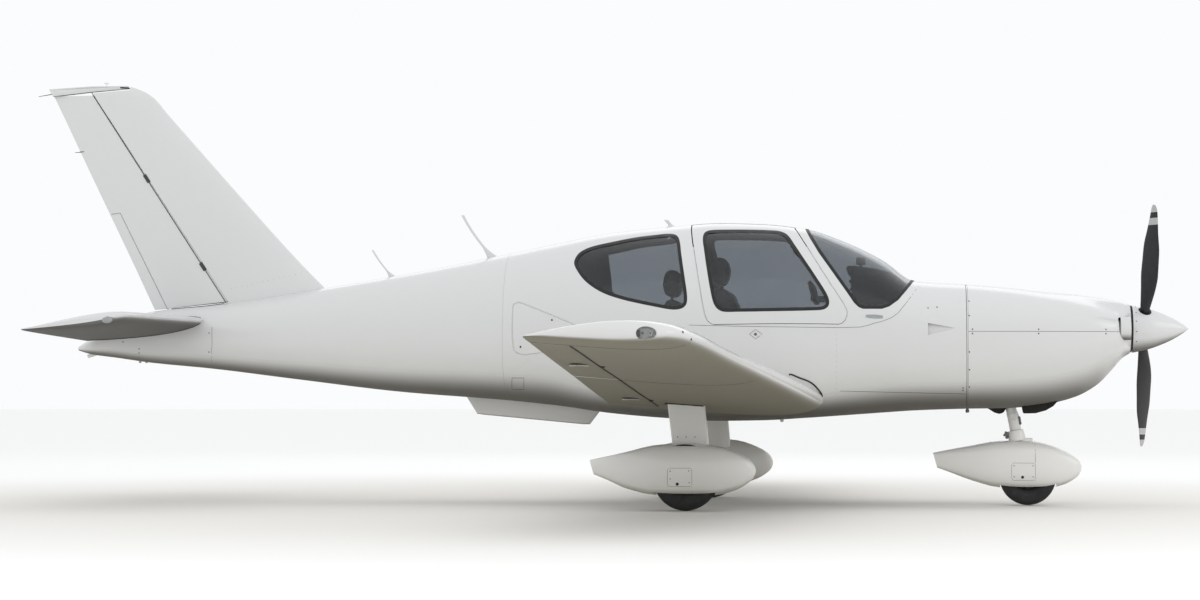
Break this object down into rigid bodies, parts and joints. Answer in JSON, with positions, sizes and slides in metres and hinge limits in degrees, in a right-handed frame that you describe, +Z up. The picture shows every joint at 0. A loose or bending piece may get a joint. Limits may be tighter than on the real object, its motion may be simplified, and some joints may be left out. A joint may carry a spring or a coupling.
{
  "type": "light aircraft",
  "caption": "Single-engine low-wing light aircraft with fixed tricycle landing gear in spats, two-blade propeller, gull-wing cabin doors and an all-moving tailplane.",
  "frame": {"origin": "on the ground, at the middle of the overall length and in the plane of symmetry", "axes": "+X to the nose, +Y to the left (port) wing, +Z up"},
  "size_m": [7.75, 9.77, 2.8648],
  "materials": {
    "white_paint": "gloss white paint",
    "tinted_glass": "smoked acrylic",
    "charcoal_paint": "matt charcoal paint with tip bands",
    "black_leather": "soft",
    "tyre_rubber": "matt",
    "bare_aluminium": "satin",
    "steel": "satin",
    "black_plastic": "matt",
    "soot_black": "sooty",
    "cast_grey": "as cast"
  },
  "bodies": {
    "airframe": {"antenna_mast_front": "white_paint", "antenna_mast_rear": "white_paint", "antenna_roof": "white_paint", "cabin_shell": "white_paint", "cowl_lower": "white_paint", "cowl_upper": "white_paint", "engine_block": "cast_grey", "exhaust_stack": "soot_black", "fin": "white_paint", "firewall": "bare_aluminium", "instrument_panel": "black_plastic", "main_axle_left": "steel", "main_axle_right": "steel", "main_leg_left": "white_paint", "main_leg_right": "white_paint", "main_spat_left": "white_paint", "main_spat_right": "white_paint", "nose_leg": "white_paint", "quarter_window_left": "tinted_glass", "quarter_window_right": "tinted_glass", "rear_bulkhead": "white_paint", "seat_front_left": "black_leather", "seat_front_right": "black_leather", "seat_rear": "black_leather", "tail_cone": "white_paint", "ventral_keel": "white_paint", "windscreen": "tinted_glass", "wing_left": "white_paint", "wing_right": "white_paint", "yoke_left": "black_plastic", "yoke_right": "black_plastic"},
    "door_left": {"door_left": "white_paint", "door_glass_left": "tinted_glass"},
    "door_right": {"door_right": "white_paint", "door_glass_right": "tinted_glass"},
    "baggage_door": {"baggage_door": "white_paint"},
    "aileron_left": {"aileron_left": "white_paint"},
    "aileron_right": {"aileron_right": "white_paint"},
    "flap_left": {"flap_left": "white_paint"},
    "flap_right": {"flap_right": "white_paint"},
    "rudder": {"rudder": "white_paint"},
    "tailplane": {"tailplane": "white_paint"},
    "nose_steer": {"nose_fork": "white_paint", "nose_spat": "white_paint"},
    "nose_wheel": {"nose_tyre": "tyre_rubber", "nose_rim": "bare_aluminium"},
    "main_wheel_left": {"main_left_tyre": "tyre_rubber", "main_left_rim": "bare_aluminium"},
    "main_wheel_right": {"main_right_tyre": "tyre_rubber", "main_right_rim": "bare_aluminium"},
    "propeller": {"spinner": "white_paint", "prop_hub": "steel", "blade_1": "charcoal_paint", "blade_2": "charcoal_paint"}
  },
  "joints": [
    {"name": "door_left_hinge", "type": "hinge", "parent": "airframe", "child": "door_left", "pos_m": [0.955, 0.17, 1.87005], "axis": [0.9994, 0, -0.036], "range_deg": [0, 75]},
    {"name": "door_right_hinge", "type": "hinge", "parent": "airframe", "child": "door_right", "pos_m": [0.955, -0.17, 1.87005], "axis": [-0.9994, 0, 0.036], "range_deg": [0, 75]},
    {"name": "baggage_door_hinge", "type": "hinge", "parent": "airframe", "child": "baggage_door", "pos_m": [-0.225, -0.55897, 1.22178], "axis": [-0.9102, 0.168, 0.3786], "range_deg": [0, 85]},
    {"name": "aileron_left_hinge", "type": "hinge", "parent": "airframe", "child": "aileron_left", "pos_m": [0.34314, 3.605, 0.92988], "axis": [-0.0257, 0.9968, 0.0761], "range_deg": [-18, 18]},
    {"name": "aileron_right_hinge", "type": "hinge", "parent": "airframe", "child": "aileron_right", "pos_m": [0.34314, -3.605, 0.92988], "axis": [0.0257, 0.9968, -0.0761], "range_deg": [-18, 18]},
    {"name": "flap_left_hinge", "type": "hinge", "parent": "airframe", "child": "flap_left", "pos_m": [0.39289, 1.685, 0.78348], "axis": [0.0259, -0.9968, -0.0759], "range_deg": [0, 40]},
    {"name": "flap_right_hinge", "type": "hinge", "parent": "airframe", "child": "flap_right", "pos_m": [0.39289, -1.685, 0.78348], "axis": [-0.0259, -0.9968, 0.0759], "range_deg": [0, 40]},
    {"name": "rudder_hinge", "type": "hinge", "parent": "airframe", "child": "rudder", "pos_m": [-3.099, 0, 2.095], "axis": [-0.5547, 0, 0.8321], "range_deg": [-25, 25]},
    {"name": "tailplane_hinge", "type": "hinge", "parent": "airframe", "child": "tailplane", "pos_m": [-2.975, 0, 1.196], "axis": [0, 1, 0], "range_deg": [0, 22]},
    {"name": "nose_steering", "type": "hinge", "parent": "airframe", "child": "nose_steer", "pos_m": [2.815, 0, 0.117], "axis": [-0.1915, 0, 0.9815], "range_deg": [-25, 25]},
    {"name": "nose_wheel_spin", "type": "hinge", "parent": "nose_steer", "child": "nose_wheel", "pos_m": [2.82, 0, 0.185], "axis": [0, 1, 0], "continuous": true},
    {"name": "main_wheel_left_spin", "type": "hinge", "parent": "airframe", "child": "main_wheel_left", "pos_m": [0.64, 1.165, 0.205], "axis": [0, 1, 0], "continuous": true},
    {"name": "main_wheel_right_spin", "type": "hinge", "parent": "airframe", "child": "main_wheel_right", "pos_m": [0.64, -1.165, 0.205], "axis": [0, 1, 0], "continuous": true},
    {"name": "propeller_spin", "type": "hinge", "parent": "airframe", "child": "propeller", "pos_m": [3.613, 0, 1.165], "axis": [1, 0, 0], "continuous": true}
  ],
  "couplings": [
    {"joint": "aileron_right_hinge", "follows": "aileron_left_hinge", "ratio": -1},
    {"joint": "flap_right_hinge", "follows": "flap_left_hinge", "ratio": 1}
  ]
}
